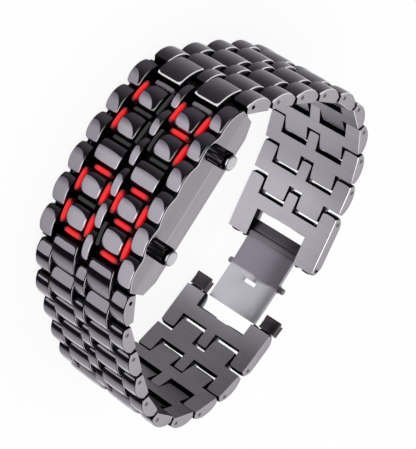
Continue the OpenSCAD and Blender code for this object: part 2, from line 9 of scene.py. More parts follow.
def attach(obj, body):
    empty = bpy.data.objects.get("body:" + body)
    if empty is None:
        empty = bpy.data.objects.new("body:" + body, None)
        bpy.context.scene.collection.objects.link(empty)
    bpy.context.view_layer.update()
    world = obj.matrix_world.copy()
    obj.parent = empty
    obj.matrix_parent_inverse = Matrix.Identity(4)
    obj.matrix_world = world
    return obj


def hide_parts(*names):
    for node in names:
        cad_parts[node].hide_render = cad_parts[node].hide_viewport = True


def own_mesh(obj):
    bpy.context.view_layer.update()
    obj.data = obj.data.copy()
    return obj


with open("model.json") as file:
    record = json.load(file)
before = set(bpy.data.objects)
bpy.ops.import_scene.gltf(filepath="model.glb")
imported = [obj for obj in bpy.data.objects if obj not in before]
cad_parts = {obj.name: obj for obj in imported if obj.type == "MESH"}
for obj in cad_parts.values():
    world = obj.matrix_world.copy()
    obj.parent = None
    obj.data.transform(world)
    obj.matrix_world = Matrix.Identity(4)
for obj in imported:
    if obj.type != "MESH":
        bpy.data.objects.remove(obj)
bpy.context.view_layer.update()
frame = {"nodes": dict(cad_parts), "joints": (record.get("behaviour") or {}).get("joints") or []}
nodes = frame["nodes"]

MM = 0.001

# Sizes of the band in millimetres, as in the part's source
BAND_WIDTH = 24
OVERHANG = 0.35
EDGE_COLUMN = 4
CENTRE_COLUMN = 3.1
LINK_PITCH = 7.6
LINK_INNER = 1.35
LINK_OUTER = 1.7
DOME_RADIUS = 5.3
LINK_GAP = 0.4
COLUMN_GAP = 0.35
END_DRAFT = math.radians(15)
BACK_PLATE = 0.7
PIN_RADIUS = 0.55
LUG_SLOPE = math.radians(40)
LUG_DOME = 8
LAST_BEND_6 = math.radians(13.5)

# Sizes of the head
ARCH_RADIUS = 52
ROW_PITCH = 6.6
ARCH_LIFT = 4.15
CASE_DEPTH = 5.15
CASE_FOOT = 15.6
PLATE = 1
BLOCK_RISE = 1.4
SCALLOP_RISE = 1.4
PLATE_RISE = 0.95
NOTCH_RISE = 0.5
BLOCK_DOME = 4.6
EDGE_DOME = 5.6
GUIDE_WIDTH = 1.1
ROW_GAP = 2
UPRIGHT_LENGTH = 5
BLOCK_INSET = 0.35
BLOCK_DEPTH = 1.15
EDGE_DEPTH = 1.2
EDGE_GAP = 0.55
CENTRE_GAP = 0.5
GUIDE_FIT = 0.08
CHAMFER = 0.1
FLUSH = 0.015
PLATE_EDGE = 0.22
FAR_DROP = 1.4
BACK_THICKNESS = 0.68
BACK_WIDTH = 19.7
BACK_GAP = 0.08

# Sizes of the clasp
BLADE_WIDTH = 13
BLADE_SIDE = 0.2
CROSSBAR = 3.8
LONG_LEG = 6.4
SHORT_LEG = 3.1
BLADE_PIN = 1.3
LEG_LAP = 0.3

FAR_Z = OVERHANG
NEAR_Z = OVERHANG + BAND_WIDTH
CASE_WIDTH = BAND_WIDTH + 2 * OVERHANG
MID_Z = CASE_WIDTH / 2
WIDE_COLUMN = (BAND_WIDTH - 2 * EDGE_COLUMN - CENTRE_COLUMN) / 2
BOUNDS = [FAR_Z, FAR_Z + EDGE_COLUMN, MID_Z - CENTRE_COLUMN / 2,
          MID_Z + CENTRE_COLUMN / 2, NEAR_Z - EDGE_COLUMN, NEAR_Z]
# Rows of the face, counted in row pitches from the middle of the head: edge blocks, centre
# blocks and light bars lie on the half rows, the other blocks and the uprights on the whole ones
EDGE_ROWS = (-2.5, -1.5, -0.5, 0.5, 1.5, 2.5)
BLOCK_ROWS = (-2, -1, 0, 1, 2)
NARROW_COLUMNS = (0, 2, 4)
WIDE_COLUMNS = (1, 3)
QUARTER = LINK_PITCH / 4
NARROW = (LINK_GAP / 2 - QUARTER, 3 * QUARTER - LINK_GAP / 2)
WIDE = (QUARTER + LINK_GAP / 2, 5 * QUARTER - LINK_GAP / 2)
ARCH_Y = ARCH_LIFT - ARCH_RADIUS
ROW_ANGLE = ROW_PITCH / ARCH_RADIUS
BACK_Y = -CASE_DEPTH
WALL = FAR_Z + EDGE_COLUMN - GUIDE_WIDTH / 2 - 0.15
CROSSBAR_TO = WIDE[0] + CROSSBAR
FRAME_COLUMN = (BAND_WIDTH - BLADE_WIDTH) / 2 - BLADE_SIDE


# Materials

class Value:
    """A number in a material, with the usual arithmetic."""

    def __init__(self, graph, socket):
        self.graph = graph
        self.socket = socket

    def _with(self, operation, other, swap=False):
        pair = (other, self) if swap else (self, other)
        return self.graph.math(operation, *pair)

    def __add__(self, other):
        return self._with("ADD", other)

    __radd__ = __add__

    def __mul__(self, other):
        return self._with("MULTIPLY", other)

    __rmul__ = __mul__

    def __sub__(self, other):
        return self._with("SUBTRACT", other)

    def __rsub__(self, other):
        return self._with("SUBTRACT", other, swap=True)

    def __neg__(self):
        return self._with("MULTIPLY", -1)


# Outputs of the Texture Coordinate node and of the Attribute node
FACING_OUTPUT = 1
OBJECT_OUTPUT = 3
FACTOR_OUTPUT = 2
# Strength of the fine relief of the steel, and its depth in metres
BUMP = 0.05
BUMP_DEPTH = 0.00002
# Sockets of a Mix node that mixes colours
MIX_AMOUNT, MIX_FIRST, MIX_SECOND, MIX_OUTPUT = 0, 6, 7, 2


class Graph:
    """The nodes of one material."""

    def __init__(self, name):
        self.material = bpy.data.materials.new(name)
        self.material.use_nodes = True
        self.tree = self.material.node_tree
        self.tree.nodes.clear()

    def node(self, kind, settings=None, inputs=None, output=0):
        made = self.tree.nodes.new(kind)
        for key, value in (settings or {}).items():
            setattr(made, key, value)
        for key, value in (inputs or {}).items():
            if isinstance(value, Value):
                self.tree.links.new(value.socket, made.inputs[key])
            else:
                made.inputs[key].default_value = value
        return Value(self, made.outputs[output]) if made.outputs else made

    def math(self, operation, *values):
        return self.node("ShaderNodeMath", {"operation": operation}, dict(enumerate(values)))

    def ease(self, value, low, high):
        """0 below low, 1 above high, smooth between them."""
        return self.node("ShaderNodeMapRange", {"interpolation_type": "SMOOTHSTEP"},
                         {"Value": value, "From Min": low, "From Max": high})

    def mix(self, amount, first, second):
        return self.node("ShaderNodeMix", {"data_type": "RGBA"},
                         {MIX_AMOUNT: amount, MIX_FIRST: first, MIX_SECOND: second},
                         output=MIX_OUTPUT)

    def noise(self, scale, detail=2.0, stretch=None):
        place = self.node("ShaderNodeTexCoord", output=OBJECT_OUTPUT)
        if stretch:
            place = self.node("ShaderNodeMapping", None, {"Vector": place, "Scale": stretch})
        return self.node("ShaderNodeTexNoise", None,
                         {"Vector": place, "Scale": scale, "Detail": detail})

    def inset(self, u, z, half_u, half_z, corner):
        """How far a place lies inside the rounded outline of a block, up to the corner's radius."""
        over_u = self.math("MAXIMUM", self.size(u) - half_u + corner, 0.0)
        over_z = self.math("MAXIMUM", self.size(z) - half_z + corner, 0.0)
        return corner - self.math("SQRT", over_u * over_u + over_z * over_z)

    def attribute(self, name):
        return self.node("ShaderNodeAttribute", {"attribute_name": name}, output=FACTOR_OUTPUT)

    def coordinate(self, output):
        """The x, y and z of a texture coordinate, in the frame of the part."""
        whole = self.node("ShaderNodeTexCoord", output=output)
        first = self.node("ShaderNodeSeparateXYZ", None, {"Vector": whole})
        return [Value(self, part) for part in first.socket.node.outputs]

    def normal(self):
        return self.coordinate(FACING_OUTPUT)

    def position(self):
        return self.coordinate(OBJECT_OUTPUT)

    def size(self, value):
        return self.math("ABSOLUTE", value)

    def bump(self, height, strength=BUMP):
        return self.node("ShaderNodeBump", None,
                         {"Strength": strength, "Distance": BUMP_DEPTH, "Height": height})

    def surface(self, **inputs):
        named = {key.replace("_", " "): value for key, value in inputs.items()}
        shader = self.node("ShaderNodeBsdfPrincipled", None, named)
        self.node("ShaderNodeOutputMaterial", None, {"Surface": shader})
        return self.material


def colour(red, green, blue):
    """A colour as it looks on screen, 0 to 255, turned into light values."""
    parts = []
    for part in (red, green, blue):
        share = part / 255
        parts.append(share / 12.92 if share <= 0.04045 else ((share + 0.055) / 1.055) ** 2.4)
    return (*parts, 1.0)


# Tones of the dark plating. Apart from the satin grain, these stand in for light: painted reflections,
# painted highlights and painted shade
BAND_HIGHLIGHT = colour(152, 147, 157)
FACET_HIGHLIGHT = colour(172, 166, 177)
FACET_SHADE = colour(138, 133, 143)
FACET_SHADE_END = colour(110, 105, 116)
DARK_REFLECTION = colour(29, 26, 30)
DARK_REFLECTION_LIGHT = colour(68, 64, 70)
SLOPE_SHADE = colour(47, 43, 48)
SLOPE_LIT = colour(178, 173, 180)
# Satin grain of the band's near-facing edges, painted lighter than its far side
LIT_SATIN = colour(158, 152, 158)
LIT_SATIN_HIGH = colour(190, 185, 191)
PALE_GRAIN_AND_HIGHLIGHT = colour(166, 161, 167)
DOWNWARD_SHADE = colour(60, 56, 61)
LOW_REFLECTION = colour(110, 104, 112)
LOW_REFLECTION_LIGHT = colour(160, 154, 162)
LOW_REFLECTION_END = colour(176, 171, 178)
UNDER_SHADE = colour(88, 83, 90)
PAINTED_BLACK = colour(16, 14, 18)
PAINTED_HIGHLIGHT = colour(236, 234, 238)

# How strongly the rim of the painted highlight facet bows, how far its bow leans to the near side,
# and how soft the rim is
FACET_CURVE = 1.3
FACET_SHIFT = 0.3
FACET_RIM = (-0.03, 0.03)
# The painted shade round the band's painted highlight, and its painted highlight lines, in millimetres
BORDER = 0.34
BORDER_CORNER = 0.9
LINE = 0.2
# Where the painted reflections and shade of the plating change, as the start and end of each
# change. Towards 12 o'clock the painted light follows how far a face looks up or down, and
# towards 6 o'clock how far it has turned down from the middle of the head.
DARK_REFLECTION_SPAN = (0.15, 0.7)
FACET_ALONG = (-2.2, -0.6)
FACET_FAR = (-0.008, -0.003)
FACET_TURN = (-0.08, 0.26)
SLOPE_SPAN = (-0.93, 0.02)
GLINT_START, GLINT_STOP = (-0.05, 0.15), (0.27, 0.42)
UNDER_SPAN = (0.1, 0.5)
BLACK_TURN = (-0.42, -0.38)
GREY_TURN = (-0.15, 0.4)
SHINE_START, SHINE_STOP = (0.4, 0.55), (0.62, 0.85)
END_TURN = (0.8, 1.2)
LOW_TURN, LOW_SIDE = (-0.18, -0.12), (0.2, 0.35)
RIM_SPAN = (0.35, 0.95)
DEEP_SPAN = (0.05, 0.5)
FAR_SPAN = (0.35, 0.6)
NEAR_SPAN = (0.55, 0.75)
LEAF_SPAN = (-0.8, -0.5)
HALF_6_SPAN = (0.0, 0.06)
# Where the painted highlight lines begin and end: at the tips of a block, on the low links, at
# the corners of the head's blocks, and before the walls and the depths
TIP_SPAN = (0.8, 0.93)
TIP_TURN = (0.2, 0.5)
CORNER_SPAN = (0.7, 1.1)
WALL_SPAN = (0.8, 0.95)
SUNK_SPAN = (0.0, 0.2)
BORDER_SPAN = (BORDER * 0.75, BORDER * 1.1)
LOW_BORDER_SPAN = (BORDER * 0.4, BORDER * 0.8)
LINE_SPAN = (LINE * 0.7, LINE * 1.1)
GRAIN_SCALE = 1500.0
CLOUD_SCALE = 220.0
# How much the faint clouds shift the edges of the painted reflections and shade
DARK_REFLECTION_CLOUD, FACET_CLOUD, SLOPE_CLOUD, TURN_CLOUD = 0.1, 0.06, 0.06, 0.05
# How strongly grazing light shows in the plating, in the recesses and on the collars
PLATING_TINT = (0.6, 0.6, 0.62, 1.0)
RECESS_TINT = (0.1, 0.1, 0.11, 1.0)
COLLAR_TINT = (0.3, 0.3, 0.32, 1.0)


def gunmetal_and_reflections(name):
    """Dark polished plating with painted reflections, highlights and shade. Each face takes its tone
    from its direction: painted bright, black and grey reflections down the 6 o'clock side, painted
    shade to light down the 12 o'clock side, and a painted highlight facet with a bowed rim on the
    blocks of the face. Rims, depths and far-facing sides are painted black, and chosen edges get
    painted highlight lines. The band's near-facing edges are satin, painted lighter than the rest."""
    g = Graph(name)
    x, y, z = g.normal()
    place_x, _, place_z = g.position()
    along, across = g.attribute("along"), g.attribute("across")
    rim, deep = g.attribute("rim"), g.attribute("deep")
    leaf, lean = g.attribute("leaf"), g.attribute("lean")
    half_long, half_wide = g.attribute("half_long"), g.attribute("half_wide")
    of_band = 1 - g.ease(leaf, *LEAF_SPAN)
    cloud = g.noise(CLOUD_SCALE)
    grain = g.noise(GRAIN_SCALE, stretch=(1.0, 1.0, 0.12))
    inset = g.inset(along * half_long, across * half_wide, half_long, half_wide, BORDER_CORNER)

    # Painted reflection on the head's blocks: dark tops, and a bright highlight facet with a bowed rim,
    # painted darker towards a corner, the far side and the 12 o'clock turn
    dark_reflection = g.mix(g.ease(x + cloud * DARK_REFLECTION_CLOUD, *DARK_REFLECTION_SPAN), DARK_REFLECTION, DARK_REFLECTION_LIGHT)
    toward = along * (1 - lean) + across * lean
    bow = across * (1 - lean) - along * lean - FACET_SHIFT
    facet = g.ease(leaf - bow * bow * lean * FACET_CURVE - toward, *FACET_RIM)
    silver = g.mix(g.ease(along + across + cloud, *FACET_ALONG), FACET_SHADE, FACET_HIGHLIGHT)
    silver = g.mix(g.ease(-place_z, *FACET_FAR) * 0.7, silver, FACET_SHADE)
    silver = g.mix(g.ease(x + cloud * FACET_CLOUD, *FACET_TURN), silver, FACET_SHADE_END)
    head = g.mix(facet, dark_reflection, silver)

    # Towards 12 o'clock: painted shade where a face looks up, painted light and a painted glint as it
    # turns down, and painted shade underneath
    slope = g.mix(g.ease(cloud * SLOPE_CLOUD - y, *SLOPE_SPAN), SLOPE_SHADE, SLOPE_LIT)
    glint = g.ease(y, *GLINT_START) * (1 - g.ease(y, *GLINT_STOP))
    slope = g.mix(glint * 0.5, slope, PAINTED_HIGHLIGHT)
    slope = g.mix(g.ease(-y, *UNDER_SPAN), slope, UNDER_SHADE)
    # Towards 6 o'clock: a painted highlight inside a painted shade border, a painted black band, then
    # on the low links painted grey that lightens to a painted glint, painted shade underneath
    turn = cloud * TURN_CLOUD - x - y
    of_6 = g.ease(-x, *HALF_6_SPAN)
    band = g.mix(of_6, slope, g.mix(g.ease(inset, *BORDER_SPAN), PAINTED_BLACK, BAND_HIGHLIGHT))
    band = g.mix(g.ease(turn, *BLACK_TURN) * of_6, band, PAINTED_BLACK)
    low = g.mix(g.ease(turn, *GREY_TURN), LOW_REFLECTION, LOW_REFLECTION_LIGHT)
    low = g.mix(g.ease(turn, *SHINE_START) * (1 - g.ease(turn, *SHINE_STOP)), low, PAINTED_HIGHLIGHT)
    low = g.mix(g.ease(turn, *END_TURN), low, LOW_REFLECTION_END)
    low = g.mix(g.ease(-y, *UNDER_SPAN), low, UNDER_SHADE)
    low = g.mix(g.ease(inset, *LOW_BORDER_SPAN), PAINTED_BLACK, low)
    band = g.mix(g.ease(turn, *LOW_TURN) * g.ease(-x - y * 0.5, *LOW_SIDE), band, low)

    # Painted shade: black on the rims, in the depths and on far-facing sides; near-facing edges of the
    # band are satin with painted light
    skin = g.mix(of_band, head, band)
    skin = g.mix(g.ease(rim, *RIM_SPAN) * (0.4 + of_band * 0.4), skin, PAINTED_BLACK)
    skin = g.mix(g.ease(deep, *DEEP_SPAN), skin, PAINTED_BLACK)
    skin = g.mix(g.ease(-z, *FAR_SPAN), skin, PAINTED_BLACK)
    satin = g.mix(grain * 0.6 + cloud * 0.4, LIT_SATIN, LIT_SATIN_HIGH)
    skin = g.mix(g.ease(z, *NEAR_SPAN) * (1 - deep) * of_band, skin, satin)

    # Painted highlight lines along the tips, sides and corners of chosen blocks
    tip = along * (1 - lean * 2)
    of_12 = g.ease(place_x, 0.0, MM)
    chosen_12 = g.ease(g.math("MAXIMUM", tip, across), *TIP_SPAN) * of_12
    chosen_6 = g.ease(tip, *TIP_SPAN) * g.ease(turn, *TIP_TURN) * 0.8
    lit_head = g.ease(across - along * 0.6, *CORNER_SPAN) * 0.35
    chosen = g.mix(of_band, lit_head, chosen_12 + chosen_6)
    line = (1 - g.ease(inset, *LINE_SPAN)) * chosen
    line = line * (1 - g.ease(z, *WALL_SPAN)) * (1 - g.ease(deep, *SUNK_SPAN))
    return g.surface(Base_Color=g.mix(line, skin, PAINTED_HIGHLIGHT), Metallic=1.0,
                     Specular_Tint=PLATING_TINT, Roughness=0.2 + grain * 0.12,
                     Normal=g.bump(grain))


# Near-black painted shade for the depths, with a random cloud between the two
RECESS_DARK, RECESS_LIGHT = colour(8, 7, 9), colour(20, 18, 22)


def recess(name):
    """Painted shade for the depths between the blocks, the pin holes and the pin slots: near-black
    steel.
    """
    g = Graph(name)
    cloud = g.noise(300.0)
    return g.surface(Base_Color=g.mix(cloud, RECESS_DARK, RECESS_LIGHT), Metallic=1.0,
                     Specular_Tint=RECESS_TINT, Roughness=0.35 + cloud * 0.2)


# Tones of the painted reflection on the wrist side, from darker to lighter, and a random cloud
WRIST_LOW, WRIST_HIGH = colour(92, 87, 93), colour(186, 181, 190)
WRIST_END_LOW, WRIST_END_HIGH = colour(170, 165, 174), colour(206, 201, 209)
WRIST_CLOUD = colour(128, 128, 136)
# Where the painted reflection lightens the wrist side, in metres: along the head, down the band, round
# its end
WRIST_ALONG = (-0.022, -0.006)
WRIST_DOWN = (0.03, 0.05)
WRIST_MIDDLE = (-0.008, 0.004)
WRIST_END = (-0.022, -0.013)
STRONG_BUMP = 0.06


def wrist_side(name):
    """Satin faces on the wrist side, with a painted reflection that lightens them towards the 12
    o'clock half and low on the band near the clasp.
    """
    g = Graph(name)
    place_x, place_y, _ = g.position()
    cloud = g.noise(90.0, 3.0)
    grain = g.noise(1200.0, stretch=(1.0, 1.0, 0.1))
    lit = g.ease(place_x + cloud * 0.004, *WRIST_ALONG)
    shade = g.mix(lit, WRIST_LOW, WRIST_HIGH)
    bright = g.mix(g.ease(-place_x, *WRIST_END), WRIST_END_LOW, WRIST_END_HIGH)
    clasp_side = g.ease(-place_y - cloud * 0.01, *WRIST_DOWN) * g.ease(place_x, *WRIST_MIDDLE)
    shade = g.mix(clasp_side, shade, bright)
    shade = g.mix(cloud * 0.3, shade, WRIST_CLOUD)
    return g.surface(Base_Color=g.mix(grain * 0.25, shade, PALE_GRAIN_AND_HIGHLIGHT), Metallic=1.0,
                     Roughness=0.3 + grain * 0.15, Normal=g.bump(grain, STRONG_BUMP))


PLATE_LOW, PLATE_HIGH = colour(150, 144, 150), colour(176, 171, 177)
# Painted shade above the crease and on faces turned away, and the painted highlight of the crease
PLATE_UPPER_SHADE, PLATE_FAR_SHADE = colour(140, 134, 141), colour(70, 66, 71)
CREASE_HIGHLIGHT = colour(226, 223, 228)
# Where the flat of the plate begins, where its rim takes the painted highlight, and where painted shade
# falls as it faces away or down
FLAT_SPAN = (0.86, 0.95)
RIM_LIT = (0.15, 0.4)
AWAY_SPAN = (0.3, 0.6)
# The fine crease painted along the side plate as a highlight line, in metres: its height, its half
# width and where it ends
CREASE_Y = -0.00075
CREASE = (0.00002, 0.00009)
CREASE_STEP = 0.00005
CREASE_START, CREASE_STOP = (-0.0115, -0.0075), (0.0065, 0.009)


def side_plate(name):
    """Satin side plates of the head, with a painted crease: painted shade above it and a painted
    highlight line along it, a painted highlight on the rim, and painted shade where a face turns away
    or down.
    """
    g = Graph(name)
    _, y, z = g.normal()
    grain = g.noise(1600.0, stretch=(0.08, 1.0, 1.0))
    cloud = g.noise(60.0)
    flat = g.mix(grain * 0.6 + cloud * 0.4, PLATE_LOW, PLATE_HIGH)
    flat = g.mix(g.ease(-z, *AWAY_SPAN), flat, PLATE_FAR_SHADE)
    place_x, place_y, _ = g.position()
    above = place_y - CREASE_Y
    crease = 1 - g.ease(g.size(above), *CREASE)
    crease = crease * g.ease(place_x, *CREASE_START) * (1 - g.ease(place_x, *CREASE_STOP))
    flat = g.mix(g.ease(above, -CREASE_STEP, CREASE_STEP) * 0.35, flat, PLATE_UPPER_SHADE)
    flat = g.mix(crease * 0.8, flat, CREASE_HIGHLIGHT)
    edge = g.mix(g.ease(z, *RIM_LIT), PAINTED_BLACK, PAINTED_HIGHLIGHT)
    lower = g.mix(g.ease(-y, *AWAY_SPAN), edge, DOWNWARD_SHADE)
    return g.surface(Base_Color=g.mix(g.ease(g.size(z), *FLAT_SPAN), lower, flat), Metallic=1.0,
                     Roughness=0.26 + grain * 0.14, Normal=g.bump(grain, STRONG_BUMP))


def plain_metal(name, low, high, roughness):
    g = Graph(name)
    grain = g.noise(700.0, stretch=(1.0, 1.0, 0.25))
    return g.surface(Base_Color=g.mix(grain, low, high), Metallic=1.0,
                     Roughness=roughness + grain * 0.1, Normal=g.bump(grain))


CAP_LOW, CAP_HIGH = colour(192, 192, 196), colour(208, 208, 211)
# Dark painted reflections on the cap's wall, and painted shade on its rim
CAP_DARK_REFLECTION, CAP_RIM_SHADE = colour(44, 42, 46), colour(120, 118, 123)
# Where the wall's painted highlight gives way to dark painted reflections, where the end begins, and
# where its painted rim shade stops
WALL_REFLECTION_SPAN = (0.25, 0.5)
CAP_END_SPAN = (0.3, 0.6)
CAP_RIM_SPAN = (0.93, 0.98)


def cap_chrome(name):
    """A polished cap: a silver end with painted shade on its rim, and a wall painted with a bright
    highlight between dark painted reflections.
    """
    g = Graph(name)
    x, _, z = g.normal()
    grain = g.noise(300.0)
    silver = g.mix(grain, CAP_LOW, CAP_HIGH)
    wall = g.mix(g.ease(g.size(x + 0.15), *WALL_REFLECTION_SPAN), PAINTED_HIGHLIGHT, CAP_DARK_REFLECTION)
    end = g.mix(g.ease(z, *CAP_RIM_SPAN), CAP_RIM_SHADE, silver)
    return g.surface(Base_Color=g.mix(g.ease(z, *CAP_END_SPAN), wall, end), Metallic=1.0,
                     Roughness=0.12 + grain * 0.08)


# Black of the collar, and the painted sheen of its streaks
COLLAR_DARK, COLLAR_SHEEN = colour(20, 18, 21), colour(112, 106, 113)
# Where a streak of painted sheen shows on the collar, and where the sheen ends on both sides of the
# direction it faces
STREAK_SPAN = (0.5, 0.68)
STREAK_SIDES = (0.3, 0.75)


def collar_black(name):
    """Black plating with fine streaks of painted sheen along the ribs, only where they face one way."""
    g = Graph(name)
    x = g.normal()[0]
    streak = g.noise(2600.0, stretch=(1.0, 1.0, 0.06))
    sheen = g.ease(streak, *STREAK_SPAN) * (1 - g.ease(g.size(x + 0.1), *STREAK_SIDES))
    return g.surface(Base_Color=g.mix(sheen, COLLAR_DARK, COLLAR_SHEEN), Metallic=1.0,
                     Specular_Tint=COLLAR_TINT, Roughness=0.25 + streak * 0.1)


PLASTIC_BUMP = 0.08


def plastic(name, low, high, roughness):
    g = Graph(name)
    grain = g.noise(900.0)
    return g.surface(Base_Color=g.mix(grain, low, high), Roughness=roughness + grain * 0.1,
                     Normal=g.bump(grain, PLASTIC_BUMP))


GLOW_DARK, GLOW_RED = colour(20, 2, 4), colour(226, 14, 22)
STRIP_LOW, STRIP_HIGH = colour(40, 2, 4), colour(60, 4, 6)
# Where the glow fades towards the ends of a strip, and towards its foot
FADE_SPAN = (0.5, 1.0)
FOOT_SPAN = (0.0, 0.45)


def lit_strip(name):
    """A glowing strip, brightest in the middle and faded at both ends."""
    g = Graph(name)
    along, across = g.attribute("along"), g.attribute("across")
    long_way, deep = g.attribute("lean"), g.attribute("deep")
    reach = g.size(along * (1 - long_way) + across * long_way)
    ends = 1 - g.ease(reach, *FADE_SPAN)
    cloud = g.noise(900.0)
    sunk = g.ease(deep, *FOOT_SPAN)
    glow = g.mix(ends * (1 - sunk) + cloud * 0.1 - 0.05, GLOW_DARK, GLOW_RED)
    return g.surface(Base_Color=g.mix(cloud, STRIP_LOW, STRIP_HIGH), Roughness=0.35,
                     Emission_Color=glow, Emission_Strength=1.0)


GUNMETAL_AND_REFLECTIONS = gunmetal_and_reflections("gunmetal_painted_reflections")
RECESS_SHADE = recess("gunmetal_recess_shade")
WRIST = wrist_side("gunmetal_wrist_side")
SIDE = side_plate("gunmetal_side_plate")
PIN_END = plain_metal("pin_end_steel", colour(104, 100, 104), colour(138, 134, 138), 0.3)
CHROME_AND_REFLECTIONS = cap_chrome("cap_chrome")
BLACK_AND_SHEEN = collar_black("black_plating")
LIT = lit_strip("lit_red_strip")
UNLIT = plastic("unlit_strip", colour(10, 9, 10), colour(26, 24, 27), 0.35)
UNLIT_BAR = plastic("unlit_bar", colour(92, 88, 94), colour(128, 122, 130), 0.35)
HOOK = plain_metal("hook_steel", colour(52, 47, 51), colour(84, 77, 82), 0.28)
MASK = plastic("mask_plastic", colour(10, 10, 11), colour(20, 20, 21), 0.6)
BOARD = plastic("board_laminate", colour(18, 60, 32), colour(30, 84, 46), 0.45)
SPRING = plain_metal("spring_steel", colour(150, 150, 154), colour(184, 184, 188), 0.3)
BACK = plain_metal("back_steel", colour(120, 116, 121), colour(150, 146, 151), 0.32)


# Places and meshes

class Place:
    """A flat frame in the plane of the watch: u along the band, v outwards."""

    def __init__(self, origin, along, outward):
        self.origin = origin
        self.along = along
        self.outward = outward

    def at(self, u, v):
        return (self.origin[0] + u * self.along[0] + v * self.outward[0],
                self.origin[1] + u * self.along[1] + v * self.outward[1])


def turned(origin, slope, side):
    """Slope is how far the band points down, side is 1 towards 12 o'clock and -1 towards 6."""
    return Place(origin, (side * math.cos(slope), -math.sin(slope)),
                 (side * math.sin(slope), math.cos(slope)))


FLAT = Place((0, 0), (1, 0), (0, 1))


def on_arch(row, rise=0.0):
    angle = row * ROW_ANGLE
    radius = ARCH_RADIUS + rise
    return turned((radius * math.sin(angle), ARCH_Y + radius * math.cos(angle)), angle, 1)


def add_object(name, data):
    made = bpy.data.objects.new(name, data)
    bpy.context.scene.collection.objects.link(made)
    return made


# Two faces that meet at more than this angle, in degrees, keep a sharp edge between them
SHARP = 38
# Marks on the points of a mesh, which the materials read for their painted light and shade: the
# place on the block from -1 to 1, how near the rim and how deep it lies, the reach and the turn of
# its painted highlight facet, and its half sizes
MARKS = ("along", "across", "rim", "deep", "leaf", "lean", "half_long", "half_wide")
NO_LEAF = -1.0
# Places of the finishes in the list of a piece; IN_DEPTH holds the painted shade of the depths
ON_FACE, IN_DEPTH, ON_WRIST, ON_PIN, ON_PLATE = range(5)


class Piece:
    """A mesh under construction, in millimetres, with its marks for the materials."""

    def __init__(self, name, body, materials, replaced=()):
        self.name = name
        self.body = body
        self.materials = materials
        self.replaced = replaced
        self.mesh = bmesh.new()
        self.marks = {key: self.mesh.verts.layers.float.new(key) for key in MARKS}

    def vert(self, place, u, v, z, **marks):
        x, y = place.at(u, v)
        made = self.mesh.verts.new((x * MM, y * MM, z * MM))
        for key in MARKS:
            made[self.marks[key]] = marks.get(key, NO_LEAF if key == "leaf" else 0.0)
        return made

    def face(self, verts, finish=ON_FACE):
        made = self.mesh.faces.new(verts)
        made.material_index = finish
        made.smooth = True

    def band(self, first, second, finish=ON_FACE):
        """Faces between two rings of as many points."""
        for i in range(len(first)):
            j = (i + 1) % len(first)
            self.face([first[i], first[j], second[j], second[i]], finish)

    def done(self):
        bmesh.ops.recalc_face_normals(self.mesh, faces=self.mesh.faces)
        data = bpy.data.meshes.new(self.name)
        self.mesh.to_mesh(data)
        self.mesh.free()
        for material in self.materials:
            data.materials.append(material)
        data.set_sharp_from_angle(angle=math.radians(SHARP))
        made = add_object(self.name, data)
        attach(made, self.body)
        if self.replaced:
            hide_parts(*self.replaced)
        return made


# Turns of the points round a rounded edge, in degrees
EDGE_TURNS = (0, 35, 65)


def steps(low, high, edge, count):
    """Places from low to high, with how far each lies below the crown of a rounded edge."""
    turns = [math.radians(a) for a in EDGE_TURNS]
    near = [(low + edge * (1 - math.cos(t)), edge * (1 - math.sin(t))) for t in turns]
    far = [(high - edge * (1 - math.cos(t)), edge * (1 - math.sin(t))) for t in reversed(turns)]
    span = high - low - 2 * edge
    middle = [(low + edge + span * i / count, 0.0) for i in range(count + 1)]
    return near + middle + far


def dome(low, high, top, radius):
    """Height of a top that is one arc from end to end."""
    middle = (low + high) / 2

    def height(u):
        return top - radius + math.sqrt(max(radius ** 2 - (u - middle) ** 2, 0))
    return height


def long_top(low, high, top, radius):
    """Height of a flat top with an arc at each end."""
    def height(u):
        over = max(low + radius - u, u - (high - radius), 0)
        return top - radius + math.sqrt(max(radius ** 2 - over ** 2, 0))
    return height


# How fast the painted shade of a block's dark rim rises towards its edge
RIM_GAIN = 1.6
# A block that comes this near to an edge of the band shows its wall there, without the painted shade of
# the depths
EDGE_REACH = 0.1


